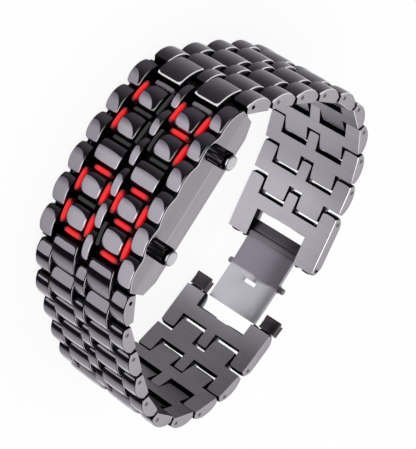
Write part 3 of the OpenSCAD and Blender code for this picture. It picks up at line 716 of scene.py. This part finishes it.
def block(piece, place, span, width, height, base, crown=0.12, edge=0.22, draft=0.0,
          wrist=ON_FACE, counts=(10, 6), corner=0.04, leaf=NO_LEAF, lean=0.0):
    """A domed block with a crowned top, rounded edges and corners, and drafted end faces."""
    us = steps(*span, edge, counts[0])
    zs = steps(*width, edge, counts[1])
    mid_u, half_u = sum(span) / 2, (span[1] - span[0]) / 2
    mid_z, half_z = sum(width) / 2, (width[1] - width[0]) / 2

    def shares(i, j):
        s, t = (us[i][0] - mid_u) / half_u, (zs[j][0] - mid_z) / half_z
        return s, t, s * (1 - corner * t ** 4), t * (1 - corner * s ** 4)

    grid = []
    for i, (u, fall_u) in enumerate(us):
        row = []
        for j, (z, fall_z) in enumerate(zs):
            s, t, plan_u, plan_z = shares(i, j)
            v = height(mid_u + plan_u * half_u) - crown * t ** 2 - math.hypot(fall_u, fall_z)
            rim = min(1.0, max(fall_u, fall_z) / edge * RIM_GAIN)
            row.append(piece.vert(place, mid_u + plan_u * half_u, v, mid_z + plan_z * half_z,
                                  along=s, across=t, rim=rim, leaf=leaf, lean=lean,
                                  half_long=half_u, half_wide=half_z))
        grid.append(row)
    last_i, last_j = len(us) - 1, len(zs) - 1
    for i in range(last_i):
        for j in range(last_j):
            piece.face([grid[i][j], grid[i + 1][j], grid[i + 1][j + 1], grid[i][j + 1]])
    loop = ([(i, 0) for i in range(last_i)] + [(last_i, j) for j in range(last_j)]
            + [(i, last_j) for i in range(last_i, 0, -1)] + [(0, j) for j in range(last_j, 0, -1)])
    ring = [grid[i][j] for i, j in loop]
    shift = base * math.tan(draft)
    levels = [(0.0, 0.0, 0.0)] if draft else []
    levels += [(-base + CHAMFER, shift, 0.0), (-base, shift + CHAMFER, CHAMFER)]
    for v, pull_u, pull_z in levels:
        lower = []
        for i, j in loop:
            s, t, plan_u, plan_z = shares(i, j)
            outside = leaf == NO_LEAF and (j == 0 and width[0] < FAR_Z + EDGE_REACH
                                           or j == last_j and width[1] > NEAR_Z - EDGE_REACH)
            lower.append(piece.vert(place, mid_u + plan_u * (half_u - pull_u), v,
                                    mid_z + plan_z * (half_z - pull_z), along=s, across=t,
                                    deep=0.0 if outside else 1.0,
                                    half_long=half_u, half_wide=half_z))
        piece.band(ring, lower)
        ring = lower
    piece.face(ring, wrist)


def bar(piece, place, span, rise, width, finish):
    """A plain bar with square edges, for what lies deep between the blocks. Its wrist side is satin."""
    turns = ((0, 0), (1, 0), (1, 1), (0, 1))
    near, far = [[piece.vert(place, span[i], rise[j], z) for i, j in turns] for z in width]
    piece.face(near, finish)
    piece.face(far, finish)
    for k, (i, j) in enumerate(turns):
        following = (k + 1) % 4
        piece.face([near[k], near[following], far[following], far[k]],
                   ON_WRIST if k == 0 else finish)


# Least divisor at a corner of an outline, so that a sharp corner isn't drawn in too far
LEAST_MITRE = 0.6


def slab(piece, outline, z_low, z_high, edge, finish):
    """An outline drawn across the band, with rounded rims."""
    count = len(outline)
    following = outline[1:] + outline[:1]
    area = sum(ax * by - bx * ay for (ax, ay), (bx, by) in zip(outline, following))
    turn = 1 if area > 0 else -1

    def inward(i):
        nx, ny = 0.0, 0.0
        for (px, py), (qx, qy) in ((outline[i - 1], outline[i]), (outline[i], following[i])):
            size = math.hypot(qx - px, qy - py) or 1
            nx -= turn * (qy - py) / size
            ny += turn * (qx - px) / size
        size = max(math.hypot(nx, ny), LEAST_MITRE)
        return nx / size, ny / size

    pulls = [inward(i) for i in range(count)]
    profile = [(z_low, edge), (z_low + edge * 0.3, edge * 0.3), (z_low + edge, 0.0),
               (z_high - edge, 0.0), (z_high - edge * 0.3, edge * 0.3), (z_high, edge)]
    rings = [[piece.vert(FLAT, x + px * pull, y + py * pull, z)
              for (x, y), (px, py) in zip(outline, pulls)] for z, pull in profile]
    for first, second in zip(rings, rings[1:]):
        piece.band(first, second, finish)
    piece.face(rings[0], finish)
    piece.face(rings[-1], finish)


# A pin end: how far its rings draw in and rise, the half length and half width of its slot, and
# how far the slot rises
PIN_RINGS = ((0.05, -0.02), (0.11, 0.014), (0.17, 0.008))
PIN_SIDES = 20
SLOT_LONG, SLOT_WIDE, SLOT_LIFT = 0.3, 0.06, 0.018
# Turn of the slot from one link to the next, in radians
SLOT_TURN = 1.3


def pin_marks(piece, place, u, turn, open_hole=False):
    """The end of a hinge pin in each edge of the band: a shallow ring with painted shade on its inner
    side, and a split end drawn as a flat slot in painted shade, or an open hole drawn as a flat face in
    painted shade.
    """
    angles = [2 * math.pi * k / PIN_SIDES for k in range(PIN_SIDES)]
    for z, way in ((NEAR_Z, 1), (FAR_Z, -1)):
        rings = []
        for inset, lift in PIN_RINGS:
            radius = PIN_RADIUS - inset
            rings.append([piece.vert(place, u + radius * math.cos(a), radius * math.sin(a),
                                     z + way * lift) for a in angles])
        piece.band(rings[0], rings[1], ON_PIN)
        piece.band(rings[1], rings[2], IN_DEPTH)
        piece.face(rings[2], IN_DEPTH if open_hole else ON_PIN)
        if not open_hole:
            c, s = math.cos(turn), math.sin(turn)
            corners = [(-SLOT_LONG, -SLOT_WIDE), (SLOT_LONG, -SLOT_WIDE),
                       (SLOT_LONG, SLOT_WIDE), (-SLOT_LONG, SLOT_WIDE)]
            piece.face([piece.vert(place, u + a * c - b * s, a * s + b * c, z + way * SLOT_LIFT)
                        for a, b in corners], IN_DEPTH)


LINK_FINISH = [GUNMETAL_AND_REFLECTIONS, RECESS_SHADE, WRIST, PIN_END]


def link(name, body, place, number):
    piece = Piece(name + "_skin", body, LINK_FINISH, [name])
    for index in NARROW_COLUMNS + WIDE_COLUMNS:
        span = NARROW if index in NARROW_COLUMNS else WIDE
        block(piece, place, span, column(index), dome(*span, LINK_OUTER, DOME_RADIUS), LINK_INNER,
              draft=END_DRAFT, wrist=ON_WRIST)
    join = (WIDE[0] + LINK_GAP, NARROW[1] - LINK_GAP)
    bar(piece, place, join, (-LINK_INNER - FLUSH, -LINK_INNER + BACK_PLATE),
        (FAR_Z + CHAMFER, NEAR_Z - CHAMFER), IN_DEPTH)
    bar(piece, place, join, (-LINK_INNER + BACK_PLATE / 2, 0.4),
        (FAR_Z + EDGE_COLUMN / 2, NEAR_Z - EDGE_COLUMN / 2), IN_DEPTH)
    pin_marks(piece, place, 0, number * SLOT_TURN, open_hole=number == 1)
    piece.done()


def column(index):
    low = BOUNDS[index] + (0 if index == 0 else COLUMN_GAP / 2)
    high = BOUNDS[index + 1] - (0 if index == 4 else COLUMN_GAP / 2)
    return low, high


# The band

joints = {j["name"]: j for j in frame["joints"]}


def pin_at(name):
    return [value / MM for value in joints[name]["pos_m"][:2]]


def slope_between(first, second, side):
    return math.atan2(-(second[1] - first[1]), side * (second[0] - first[0]))


slopes = {}
for mark, side in (("12h", 1), ("6h", -1)):
    pins = [pin_at(f"hinge_{mark}_{k}") for k in range(1, 11)]
    for k in range(1, 10):
        slope = slope_between(pins[k - 1], pins[k], side)
        name = f"link_{mark}_{k}"
        link(name, name, turned(pins[k - 1], slope, side), k)
        slopes[mark] = slope
first_pin = pin_at("hinge_12h_1")
last_12, last_6 = pin_at("hinge_12h_10"), pin_at("hinge_6h_10")
blade_at = pin_at("blade_hinge")


def clasp_frame(name, body, place, leg_end, slot_turn):
    """A crossbar with two legs, and the columns that reach round the last pin."""
    piece = Piece(name + "_skin", body, LINK_FINISH, [name])
    corner = LINK_INNER + LINK_OUTER - 0.5
    legs = [column(0), column(4), (BOUNDS[1] - LEG_LAP, FAR_Z + FRAME_COLUMN),
            (NEAR_Z - FRAME_COLUMN, BOUNDS[4] + LEG_LAP)]
    for number, width in enumerate(legs):
        low = NARROW[0] if number < 2 else WIDE[0]
        block(piece, place, (low, leg_end), width, long_top(low, leg_end, LINK_OUTER, corner),
              LINK_INNER, crown=0.05, draft=END_DRAFT, wrist=ON_WRIST, counts=(16, 5))
    block(piece, place, NARROW, column(2), dome(*NARROW, LINK_OUTER, DOME_RADIUS), LINK_INNER,
          draft=END_DRAFT, wrist=ON_WRIST)
    for index in WIDE_COLUMNS:
        span = (WIDE[0], CROSSBAR_TO)
        block(piece, place, span, column(index), long_top(*span, LINK_OUTER, 1.6), LINK_INNER,
              crown=0.05, draft=END_DRAFT, wrist=ON_WRIST, counts=(12, 6))
    bar(piece, place, (WIDE[0] + LINK_GAP, CROSSBAR_TO - LINK_GAP), (-LINK_INNER - FLUSH, 0.6),
        (FAR_Z + CHAMFER, NEAR_Z - CHAMFER), IN_DEPTH)
    for low, high in ((FAR_Z, FAR_Z + FRAME_COLUMN), (NEAR_Z - FRAME_COLUMN, NEAR_Z)):
        bar(piece, place, (CROSSBAR_TO - LINK_GAP, leg_end - LINK_GAP), (-LINK_INNER - FLUSH, 0),
            (low + CHAMFER, high - CHAMFER), IN_DEPTH)
    pin_marks(piece, place, 0, slot_turn)
    return piece


slope_12 = slope_between(last_12, blade_at, 1)
slope_6 = slopes["6h"] + LAST_BEND_6
place_12 = turned(last_12, slope_12, 1)
frame_12 = clasp_frame("clasp_frame_12", "clasp_12", place_12, CROSSBAR_TO + LONG_LEG, 0.5)
pin_marks(frame_12, place_12, CROSSBAR_TO + LONG_LEG - BLADE_PIN, 0, open_hole=True)
frame_12.done()
place_6 = turned(last_6, slope_6, -1)
clasp_frame("clasp_frame_6", "clasp_6", place_6, CROSSBAR_TO + SHORT_LEG, 2.2).done()


# The head

def arc_points(centre, radius, start, stop, count):
    return [(centre[0] + radius * math.sin(start + (stop - start) * i / count),
             centre[1] + radius * math.cos(start + (stop - start) * i / count))
            for i in range(count + 1)]


SHOULDER = first_pin[0] - LINK_OUTER - 0.15
WALL_TOP = first_pin[1] + 3


def leaf_of(row):
    """How far the painted highlight facet reaches over a block of the face: least towards 12 o'clock.
    """
    return min(0.6, 0.3 - 0.16 * row)


# Points in a row of the outline, with scallops and without
SCALLOP_POINTS = 12
ARCH_POINTS = 4


def plate_outline(top_rise, scallop=0.0):
    """Outline of a side plate: flat foot, sloping ends and a row of scallops along the arch."""
    points = []
    count = SCALLOP_POINTS if scallop else ARCH_POINTS
    for row in EDGE_ROWS:
        for i in range(count):
            t = (i + 0.5) / count * 2 - 1
            angle = (row + t / 2) * ROW_ANGLE
            radius = ARCH_RADIUS + top_rise - scallop * t * t
            x, y = radius * math.sin(angle), ARCH_Y + radius * math.cos(angle)
            if abs(x) < SHOULDER - 0.1:
                points.append((x, y))
    end_y = points[-1][1]
    corner_y = min(end_y - 0.5, WALL_TOP)
    right = [(SHOULDER, end_y - 0.1), (SHOULDER + 0.2, corner_y),
             (SHOULDER - 0.5, BACK_Y + 1.4), (CASE_FOOT, BACK_Y)]
    left = [(-x, y) for x, y in reversed(right)]
    return points + right + left


# How far the core of the head reaches into the side plates, and its rounded edge
CORE_LAP = 0.05
CORE_EDGE = 0.02

case = Piece("case_skin", "root", [*LINK_FINISH, SIDE], ["case"])
slab(case, plate_outline(-FAR_DROP), 0.0, PLATE, CHAMFER, ON_PLATE)
near_outline = plate_outline(PLATE_RISE, SCALLOP_RISE - NOTCH_RISE)
slab(case, near_outline, CASE_WIDTH - PLATE, CASE_WIDTH, PLATE_EDGE, ON_PLATE)
for side in (1, -1):
    bar(case, FLAT, (side * (SHOULDER - 0.8), side * (SHOULDER + 0.15)), (-3, WALL_TOP),
        (FAR_Z + EDGE_COLUMN - 0.4, CASE_WIDTH - PLATE), IN_DEPTH)
lid = BACK_Y + BACK_THICKNESS
core = [(x, max(y, lid)) for x, y in plate_outline(-FAR_DROP)]
slab(case, core, PLATE - CORE_LAP, CASE_WIDTH - PLATE + CORE_LAP, CORE_EDGE, IN_DEPTH)
# The rim of the case round its back, as two ends and two sides
rim_half = CASE_FOOT - 1.6 + BACK_GAP
rim_low = MID_Z - BACK_WIDTH / 2 - BACK_GAP
rim_high = MID_Z + BACK_WIDTH / 2 + BACK_GAP
for span, width in (((-CASE_FOOT, -rim_half), (PLATE, CASE_WIDTH - PLATE)),
                    ((rim_half, CASE_FOOT), (PLATE, CASE_WIDTH - PLATE)),
                    ((-rim_half, rim_half), (PLATE, rim_low)),
                    ((-rim_half, rim_half), (rim_high, CASE_WIDTH - PLATE))):
    bar(case, FLAT, span, (BACK_Y, lid), width, ON_WRIST)
edge_long = ROW_PITCH - EDGE_GAP
for row in EDGE_ROWS:
    span = (-edge_long / 2, edge_long / 2)
    far_block, near_block = (0.12, WALL - 0.1), (CASE_WIDTH - WALL + 0.1, CASE_WIDTH - PLATE_EDGE)
    for width, shape in ((far_block, BLOCK_DOME), (near_block, EDGE_DOME)):
        block(case, on_arch(row), span, width, dome(*span, BLOCK_RISE, shape), EDGE_DEPTH,
              crown=0.2, edge=0.22, corner=0.1, leaf=leaf_of(row), lean=0.42)
for side in (1, -1):
    place = turned((side * first_pin[0], first_pin[1]), LUG_SLOPE, side)
    span = (WIDE[0] - LINK_PITCH + 0.3, WIDE[1] - LINK_PITCH)
    for index in WIDE_COLUMNS:
        block(case, place, span, column(index), dome(*span, LINK_OUTER, LUG_DOME), LINK_INNER,
              draft=END_DRAFT, wrist=ON_WRIST, lean=1.0)
case.done()

grille = Piece("face_grille_skin", "root", [GUNMETAL_AND_REFLECTIONS, RECESS_SHADE], ["face_grille"])
# The deck under the blocks: its half length in rows, and how far its two sides lie below the arch
DECK_ROWS = 2.55
DECK_DROPS = (0.9, 1.8)
deck_end = DECK_ROWS * ROW_ANGLE
upper, lower = [arc_points((0, ARCH_Y), ARCH_RADIUS - drop, -deck_end, deck_end, 30)
                for drop in DECK_DROPS]
slab(grille, upper + lower[::-1], WALL + GUIDE_FIT, CASE_WIDTH - WALL - GUIDE_FIT, CORE_EDGE,
     IN_DEPTH)
digit_side = GUIDE_WIDTH / 2 + GUIDE_FIT + BLOCK_INSET / 2
block_long = ROW_PITCH - ROW_GAP + BLOCK_INSET
# How much the blocks from the middle of the head to 6 o'clock are cut short at their lower end
BLOCK_CUT = 0.4
for row in BLOCK_ROWS:
    side = digit_side if row else COLUMN_GAP / 2
    span = (-block_long / 2 + (BLOCK_CUT if row <= 0 else 0), block_long / 2)
    for index in WIDE_COLUMNS:
        width = (BOUNDS[index] + side, BOUNDS[index + 1] - side)
        block(grille, on_arch(row), span, width, dome(*span, BLOCK_RISE, BLOCK_DOME), BLOCK_DEPTH,
              crown=0.5 if row else 0.15, edge=0.3, corner=0.1 if row else 0.05,
              leaf=leaf_of(row) if row else 0.25, lean=0.47 if row else 0.08)
centre_half = CENTRE_COLUMN / 2 - GUIDE_WIDTH / 2 - GUIDE_FIT
centre_long = ROW_PITCH - CENTRE_GAP
for row in EDGE_ROWS:
    span = (-centre_long / 2, centre_long / 2)
    block(grille, on_arch(row), span, (MID_Z - centre_half, MID_Z + centre_half),
          dome(*span, BLOCK_RISE - 0.2, DOME_RADIUS), BLOCK_DEPTH, crown=0.15, edge=0.28,
          corner=0.12, leaf=leaf_of(row), lean=0.25)
grille.done()

# Lit places: the far digits and the near digits, uprights by row and bars by row
LIT_UPRIGHTS = {1: (2, 1, -1, -2), 2: (-1, -2), 3: (2, -1), 4: (2, 1, -1, -2)}
LIT_BARS = {1: (-0.5, -2.5), 3: (1.5, -0.5, -1.5, -2.5)}
UPRIGHT_RISE = 0.75
BAR_RISE = 0.1
STRIP_DOME = 14
STRIP_DEPTH = 1.6


def strip(piece, row, z, long, wide, rise):
    block(piece, on_arch(row), (-long / 2, long / 2), (z - wide / 2, z + wide / 2),
          dome(-long / 2, long / 2, rise, STRIP_DOME), STRIP_DEPTH, crown=0.12, edge=0.25,
          counts=(12, 8), corner=0.08, lean=1.0 if wide > long else 0.0)


lit = Piece("light_strips_lit", "root", [LIT], ["light_guides"])
unlit = Piece("light_strips_unlit", "root", [UNLIT])
pale = Piece("light_bars_pale", "root", [UNLIT_BAR])
for index in (1, 2, 3, 4):
    for row in (-2, -1, 1, 2):
        strip(lit if row in LIT_UPRIGHTS[index] else unlit, row, BOUNDS[index], UPRIGHT_LENGTH,
              GUIDE_WIDTH - 0.15, UPRIGHT_RISE)
flat_wide = WIDE_COLUMN - GUIDE_WIDTH - 2 * BLOCK_INSET
for index in WIDE_COLUMNS:
    for row in EDGE_ROWS:
        off = pale if row == EDGE_ROWS[-1] else unlit
        strip(lit if row in LIT_BARS[index] else off, row, (BOUNDS[index] + BOUNDS[index + 1]) / 2,
              GUIDE_WIDTH - 0.1, flat_wide, BAR_RISE)
for piece in (lit, unlit, pale):
    piece.done()


# Bevelled copies of small solids, and finishes of the rest

# Points nearer than this, in metres, are joined, and faces are merged where they are this flat
SAME_POINT = 0.000002
FLAT_ANGLE = math.radians(1)
# Edges with a turn of more than this are bevelled, and what is left stays sharp from the second
BEVEL_ANGLE = math.radians(30)
SHARP_BEVEL = math.radians(40)


def bevelled(name, body, material, width):
    """A copy of a solid with bevelled edges."""
    mesh = bmesh.new()
    mesh.from_mesh(nodes[name].data)
    bmesh.ops.remove_doubles(mesh, verts=mesh.verts, dist=SAME_POINT)
    bmesh.ops.dissolve_limit(mesh, angle_limit=FLAT_ANGLE, verts=mesh.verts, edges=mesh.edges)
    sharp = [e for e in mesh.edges
             if len(e.link_faces) == 2 and e.calc_face_angle(0) > BEVEL_ANGLE]
    bmesh.ops.bevel(mesh, geom=sharp, offset=width * MM, segments=2, profile=0.5,
                    affect="EDGES", clamp_overlap=True)
    for face in mesh.faces:
        face.smooth = True
        face.material_index = 0
    data = bpy.data.meshes.new(name + "_skin")
    mesh.to_mesh(data)
    mesh.free()
    data.materials.append(material)
    data.set_sharp_from_angle(angle=SHARP_BEVEL)
    made = add_object(name + "_skin", data)
    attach(made, body)
    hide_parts(name)


# Satin of the blade's tail, the painted shade on it, and the painted light towards its tip
BLADE_TAIL, BLADE_SHADE = colour(142, 136, 148), colour(80, 75, 80)
BLADE_TIP_LOW, BLADE_TIP_HIGH = colour(182, 180, 190), colour(204, 201, 210)
# Where painted shade falls on the blade's tail and where the painted light starts past its bend at the
# lock pin, in metres
TAIL_SPAN = (0.0005, 0.0045)
BEND_SPAN = (0.0054, 0.0060)
# Where the painted highlight on the blade's near edge begins
BLADE_EDGE_SPAN = (0.5, 0.8)


def blade_steel(name):
    """Satin blade with painted shade from its tail to the lock pin, painted light past its bend towards
    the tip, and a painted highlight on its near edge.
    """
    g = Graph(name)
    place_x = g.position()[0]
    grain = g.noise(1300.0, stretch=(0.1, 1.0, 1.0))
    cloud = g.noise(120.0)
    shaded = g.ease(place_x + cloud * MM, *TAIL_SPAN)
    tail = g.mix(shaded, BLADE_TAIL, BLADE_SHADE)
    tip = g.mix(cloud, BLADE_TIP_LOW, BLADE_TIP_HIGH)
    skin = g.mix(g.ease(-place_x, *BEND_SPAN), tail, tip)
    skin = g.mix(g.ease(g.normal()[2], *BLADE_EDGE_SPAN), skin, PALE_GRAIN_AND_HIGHLIGHT)
    return g.surface(Base_Color=skin, Metallic=1.0, Roughness=0.3 + grain * 0.12,
                     Normal=g.bump(grain))


bevelled("clasp_blade", "blade", blade_steel("blade_steel"), 0.1)
bevelled("release_button_near", "release_button_near", HOOK, 0.08)
bevelled("release_button_far", "release_button_far", HOOK, 0.08)
bevelled("push_button_12", "push_button_12", CHROME_AND_REFLECTIONS, 0.1)
bevelled("push_button_6", "push_button_6", CHROME_AND_REFLECTIONS, 0.1)
bevelled("button_collars", "root", BLACK_AND_SHEEN, 0.18)
bevelled("clasp_lock_pin", "blade", PIN_END, 0.15)
bevelled("case_back", "root", BACK, 0.12)


def spring(name, body):
    """A copy of a return spring, with a mesh of its own."""
    data = nodes[name].data.copy()
    data.materials.clear()
    data.materials.append(SPRING)
    made = add_object(name + "_skin", data)
    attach(made, body)
    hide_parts(name)
    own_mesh(made)


spring("button_spring_12", "root")
spring("button_spring_6", "root")
spring("release_spring_near", "clasp_6")
spring("release_spring_far", "clasp_6")

FINISHES = {"light_mask": MASK, "circuit_board": BOARD, "button_cells": SPRING,
            "back_screws": PIN_END, "clasp_hinge_pin": PIN_END}
for name, node in nodes.items():
    if name in FINISHES or name.startswith("pin_"):
        node.data.materials.clear()
        node.data.materials.append(FINISHES.get(name, PIN_END))


# Floor, light and camera

# Outputs of the Light Path node: camera ray, glossy ray, transmission ray
LIGHT_PATHS = (0, 3, 6)
WHITE = (1.0, 1.0, 1.0, 1.0)
FLOOR_GLOW = 0.88
HALF_FLOOR = 3.0
ROOM_LIGHT = 0.95
LAMP_AIM = Vector((0, -0.03, 0.01))


def stage_material():
    """A pale floor that shows white to the eye and in the steel, and keeps a soft shadow."""
    g = Graph("pale_floor")
    cloud = g.noise(3.0)
    matt = g.node("ShaderNodeBsdfDiffuse", None,
                  {"Color": g.mix(cloud, (0.94, 0.94, 0.94, 1), (0.96, 0.96, 0.96, 1))})
    glow = g.node("ShaderNodeEmission", None, {"Color": WHITE, "Strength": 1.0})
    seen = [g.node("ShaderNodeLightPath", output=i) for i in LIGHT_PATHS]
    share = g.math("MINIMUM", seen[0] + seen[1] + seen[2], 1.0) * FLOOR_GLOW
    mixed = g.node("ShaderNodeMixShader", None, {0: share, 1: matt, 2: glow})
    g.node("ShaderNodeOutputMaterial", None, {"Surface": mixed})
    return g.material


floor_mesh = bpy.data.meshes.new("floor")
corners = [(x * HALF_FLOOR, y * HALF_FLOOR, 0) for x, y in ((-1, -1), (1, -1), (1, 1), (-1, 1))]
floor_mesh.from_pydata(corners, [], [(0, 1, 2, 3)])
floor_mesh.materials.append(stage_material())
floor = add_object("floor", floor_mesh)

world = bpy.data.worlds.new("studio")
world.use_nodes = True
background = world.node_tree.nodes["Background"]
background.inputs["Color"].default_value = WHITE
background.inputs["Strength"].default_value = ROOM_LIGHT
bpy.context.scene.world = world

lamp_data = bpy.data.lights.new("soft_key", "AREA")
lamp_data.size = 0.35
lamp_data.energy = 0.5
lamp = add_object("soft_key", lamp_data)
lamp.location = (-0.25, 0.25, 0.45)
direction = LAMP_AIM - lamp.location
lamp.rotation_euler = direction.to_track_quat("-Z", "Y").to_euler()

# The camera: focal length in pixels of the picture, then its place and its axes in the frame
IMAGE_WIDTH = 416
FOCAL_PIXELS = 1657.57
SENSOR = 36
CAMERA_PLACE = (-0.000392, 0.257196, 0.182536)
CAMERA_RIGHT = (0.53027, -0.43286, 0.72900)
CAMERA_UP = (0.84782, 0.26739, -0.45793)
CAMERA_BEHIND = (0.00329, 0.86089, 0.50878)
camera_data = bpy.data.cameras.new("camera")
camera_data.sensor_fit = "HORIZONTAL"
camera_data.sensor_width = SENSOR
camera_data.lens = FOCAL_PIXELS * SENSOR / IMAGE_WIDTH
camera_data.clip_start = 0.01
camera_data.clip_end = 20
camera = add_object("camera", camera_data)
rows = zip(CAMERA_RIGHT, CAMERA_UP, CAMERA_BEHIND, CAMERA_PLACE)
camera.matrix_world = Matrix([*rows, (0, 0, 0, 1)])
bpy.context.scene.camera = camera
bpy.context.scene.view_settings.view_transform = "Standard"

bpy.context.view_layer.update()
